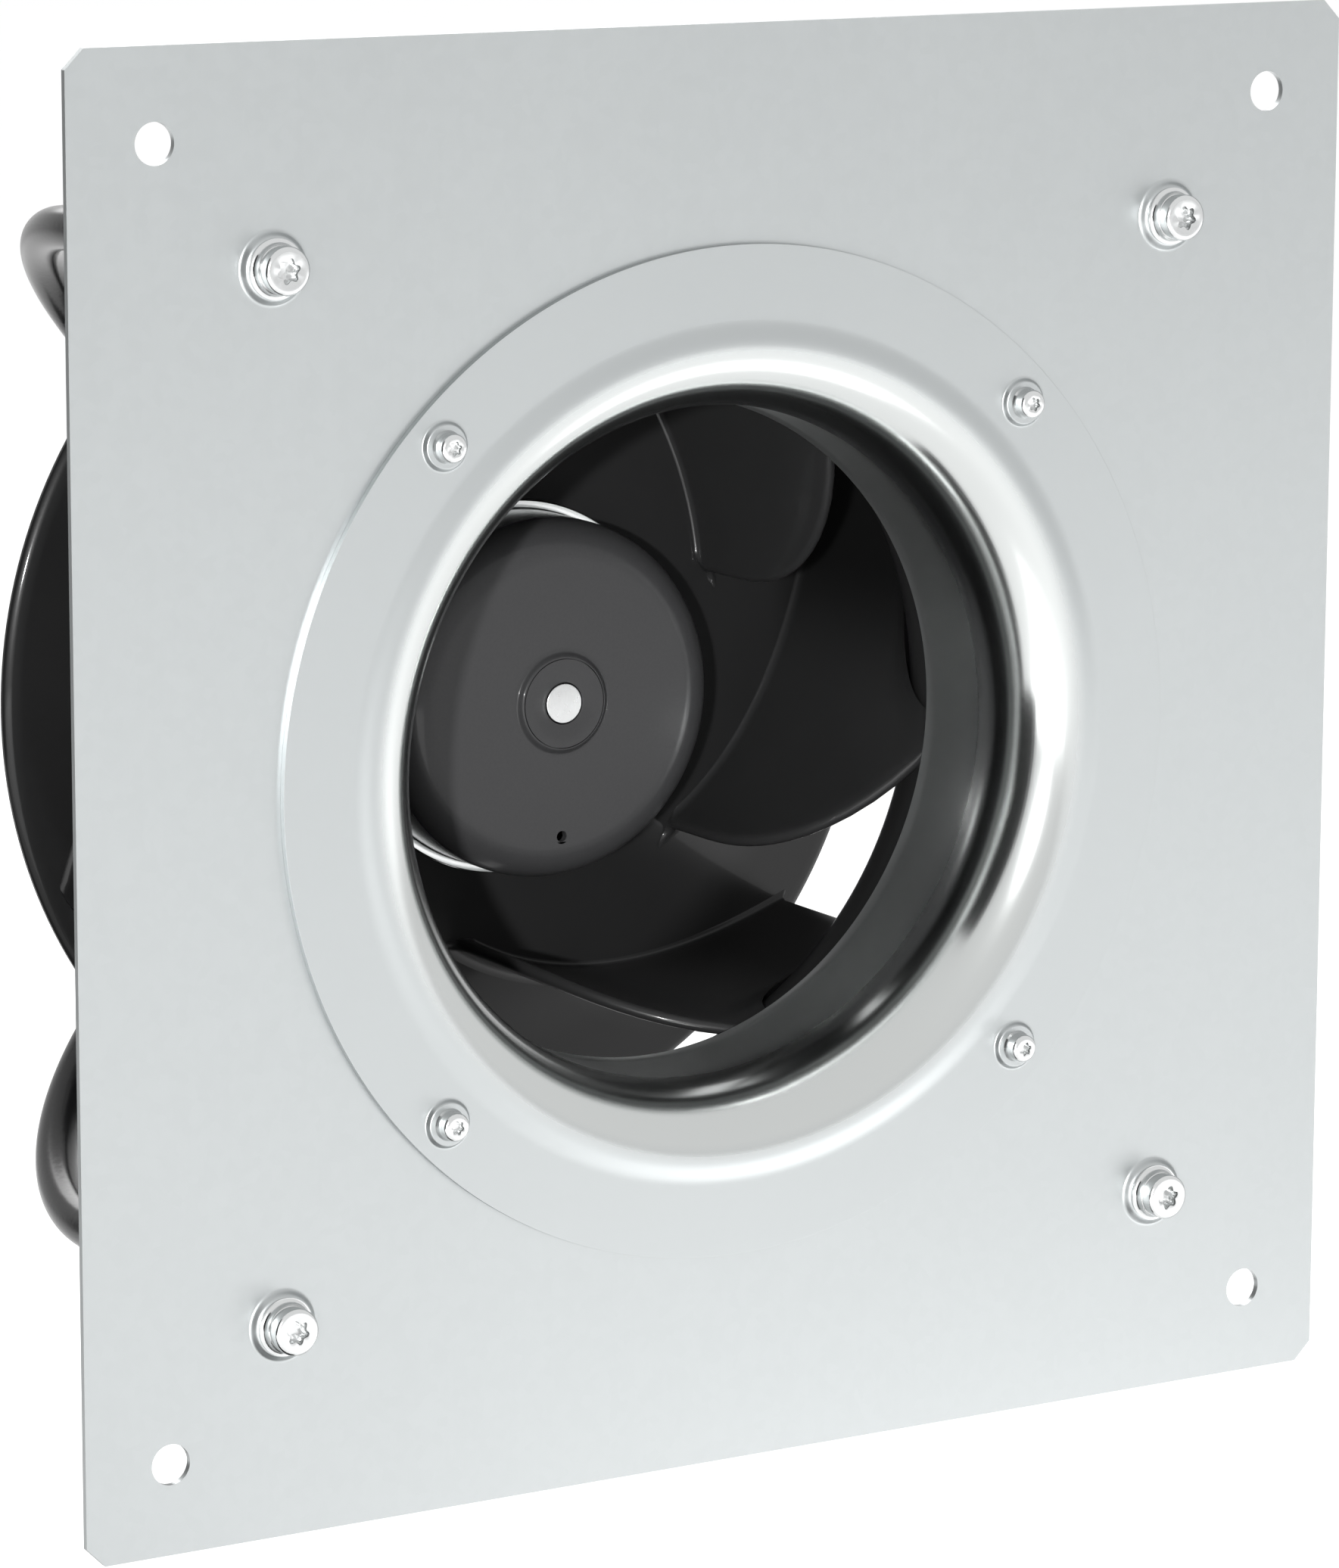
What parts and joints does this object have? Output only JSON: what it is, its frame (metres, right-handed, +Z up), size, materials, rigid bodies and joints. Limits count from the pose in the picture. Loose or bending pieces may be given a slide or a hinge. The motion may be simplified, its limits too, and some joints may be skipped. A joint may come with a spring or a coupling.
{
  "type": "plug fan",
  "caption": "Plug fan: square mounting plate with inlet nozzle, closed backward-curved impeller on an external-rotor motor carried by four bent struts.",
  "frame": {"origin": "on the fan axis at the mounting plate's front (inlet side) face, the centre of the four plate holes", "axes": "+Z up, +X right seen from the inlet side, air enters along +Y; the plate's front face looks along -Y"},
  "size_m": [0.32, 0.168, 0.32],
  "materials": {
    "zinc_sheet": "satin galvanised sheet",
    "bright_sheet": "bright spun sheet, polished",
    "bright_steel": "bright zinc-plated fastener steel",
    "black_paint": "gloss black powder coat",
    "black_plastic": "black moulded plastic, satin",
    "rotor_paint": "dark grey paint on the front, bare steel side wall",
    "magnet": "bonded ferrite",
    "ground_steel": "ground steel",
    "cast_aluminium": "die-cast aluminium",
    "lamination": "laminated electrical steel",
    "copper": "enamelled copper wire",
    "gasket_rubber": "matt rubber",
    "cover_plastic": "black moulded plastic, fine texture",
    "board": "green circuit board",
    "brass": "turned brass",
    "component_plastic": "dark component cases",
    "gland_plastic": "black nylon"
  },
  "bodies": {
    "frame": {"mounting_plate": "zinc_sheet", "inlet_nozzle": "bright_sheet", "nozzle_screws": "bright_steel", "nozzle_nuts": "bright_steel", "strut_washers": "bright_steel", "strut_bolts": "bright_steel", "strut_top_right": "black_paint", "strut_top_left": "black_paint", "strut_bottom_left": "black_paint", "strut_bottom_right": "black_paint", "lug_screws": "bright_steel", "front_bearing_outer_race": "ground_steel", "rear_bearing_outer_race": "ground_steel", "bearing_tube": "cast_aluminium", "preload_spring": "ground_steel", "stator_core": "lamination", "stator_coils": "copper", "motor_housing": "cast_aluminium", "cover_gasket": "gasket_rubber", "electronics_cover": "cover_plastic", "cover_screws": "bright_steel", "circuit_board": "board", "board_supports": "brass", "board_components": "component_plastic", "gland_body": "gland_plastic", "gland_cap": "gland_plastic", "gland_nut": "gland_plastic"},
    "rotor": {"impeller_wheel": "black_plastic", "impeller_shroud": "black_plastic", "hub_ring": "bright_steel", "rotor_bell": "rotor_paint", "rotor_magnets": "magnet", "shaft": "ground_steel", "retaining_ring": "bright_steel", "front_bearing_inner_race": "ground_steel", "front_bearing_balls": "ground_steel", "rear_bearing_inner_race": "ground_steel", "rear_bearing_balls": "ground_steel"}
  },
  "joints": [
    {"name": "rotor_spin", "type": "hinge", "parent": "frame", "child": "rotor", "pos_m": [0, 0.1, 0], "axis": [0, 1, 0], "continuous": true}
  ]
}
